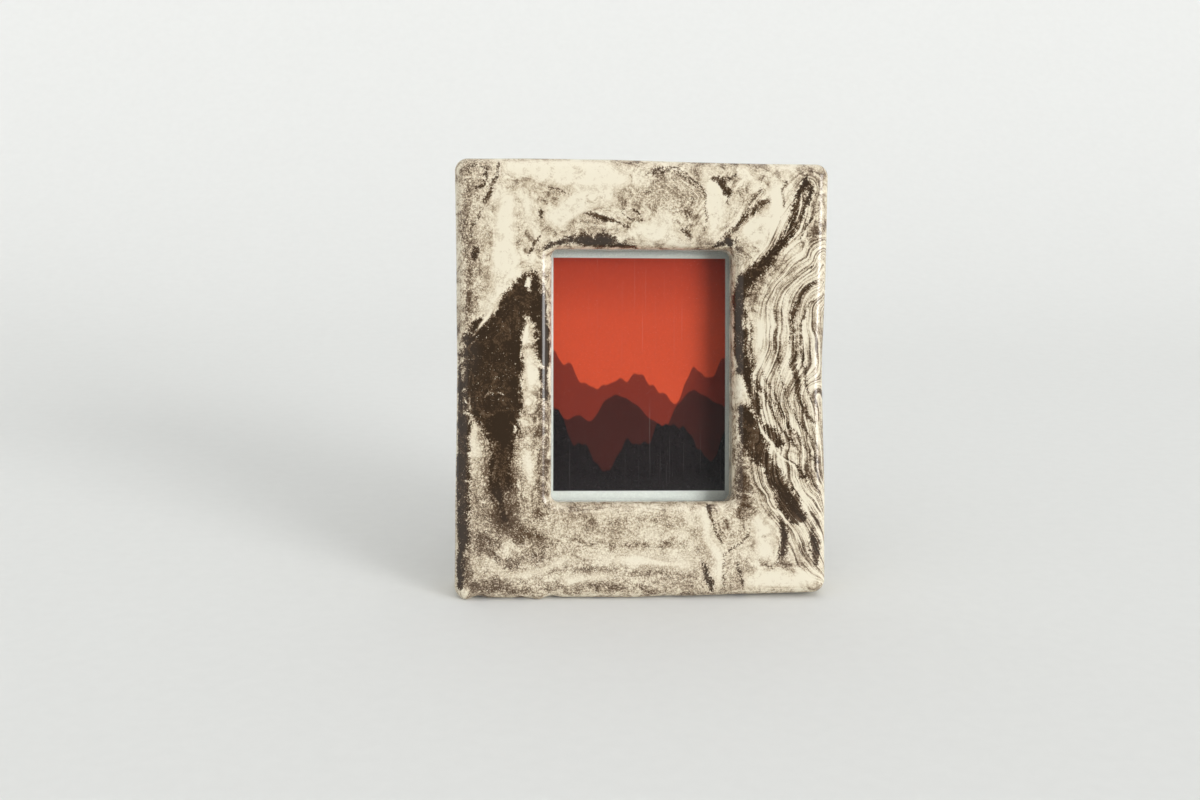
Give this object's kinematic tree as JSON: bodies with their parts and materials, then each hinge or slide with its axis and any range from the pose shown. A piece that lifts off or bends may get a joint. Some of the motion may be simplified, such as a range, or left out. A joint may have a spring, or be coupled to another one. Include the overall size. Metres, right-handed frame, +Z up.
{
  "type": "ceramic photo frame",
  "caption": "Hand-built marbled clay table frame: soft rounded edges, an instant print behind a glazed window, turn buttons on the back and a hinged easel strut.",
  "frame": {"origin": "on the table, in the middle of the ceramic foot", "axes": "+Z up, -Y the way the picture faces, +X to the right as the picture is looked at"},
  "size_m": [0.0982, 0.0433, 0.1118],
  "materials": {
    "glazed_clay": "gloss clear glaze over cream and dark brown marbled clay",
    "pane_glass": "clear, polished",
    "print_film": "gloss instant film with a white border",
    "grey_card": "matt grey board",
    "hardboard": "brown pressed hardboard, satin outer face",
    "hinge_steel": "zinc plated",
    "button_brass": "plated, satin",
    "plug_nylon": "matt nylon"
  },
  "bodies": {
    "frame": {"ceramic_frame": "glazed_clay", "glass_pane": "pane_glass", "photo_print": "print_film", "filler_card": "grey_card", "backing_board": "hardboard", "hinge_board_leaf": "hinge_steel", "hinge_pin": "hinge_steel", "board_rivet_left": "hinge_steel", "board_rivet_right": "hinge_steel", "turn_screw_upper_left": "button_brass", "turn_screw_upper_right": "button_brass", "turn_screw_lower_left": "button_brass", "turn_screw_lower_right": "button_brass", "screw_plug_upper_left": "plug_nylon", "screw_plug_upper_right": "plug_nylon", "screw_plug_lower_left": "plug_nylon", "screw_plug_lower_right": "plug_nylon"},
    "strut": {"easel_strut": "hardboard", "hinge_strut_leaf": "hinge_steel", "strut_rivet_left": "hinge_steel", "strut_rivet_right": "hinge_steel"},
    "button_upper_left": {"turn_button_upper_left": "button_brass"},
    "button_upper_right": {"turn_button_upper_right": "button_brass"},
    "button_lower_left": {"turn_button_lower_left": "button_brass"},
    "button_lower_right": {"turn_button_lower_right": "button_brass"}
  },
  "joints": [
    {"name": "strut_fold", "type": "hinge", "parent": "frame", "child": "strut", "pos_m": [0, 0.02257, 0.06227], "axis": [1, 0, 0], "range_deg": [-22, 0]},
    {"name": "turn_upper_left", "type": "hinge", "parent": "frame", "child": "button_upper_left", "pos_m": [-0.03325, 0.02402, 0.07322], "axis": [0, 0.9744, -0.225], "continuous": true},
    {"name": "turn_upper_right", "type": "hinge", "parent": "frame", "child": "button_upper_right", "pos_m": [0.03325, 0.02402, 0.07322], "axis": [0, 0.9744, -0.225], "continuous": true},
    {"name": "turn_lower_left", "type": "hinge", "parent": "frame", "child": "button_lower_left", "pos_m": [-0.03325, 0.01277, 0.0245], "axis": [0, 0.9744, -0.225], "continuous": true},
    {"name": "turn_lower_right", "type": "hinge", "parent": "frame", "child": "button_lower_right", "pos_m": [0.03325, 0.01277, 0.0245], "axis": [0, 0.9744, -0.225], "continuous": true}
  ]
}
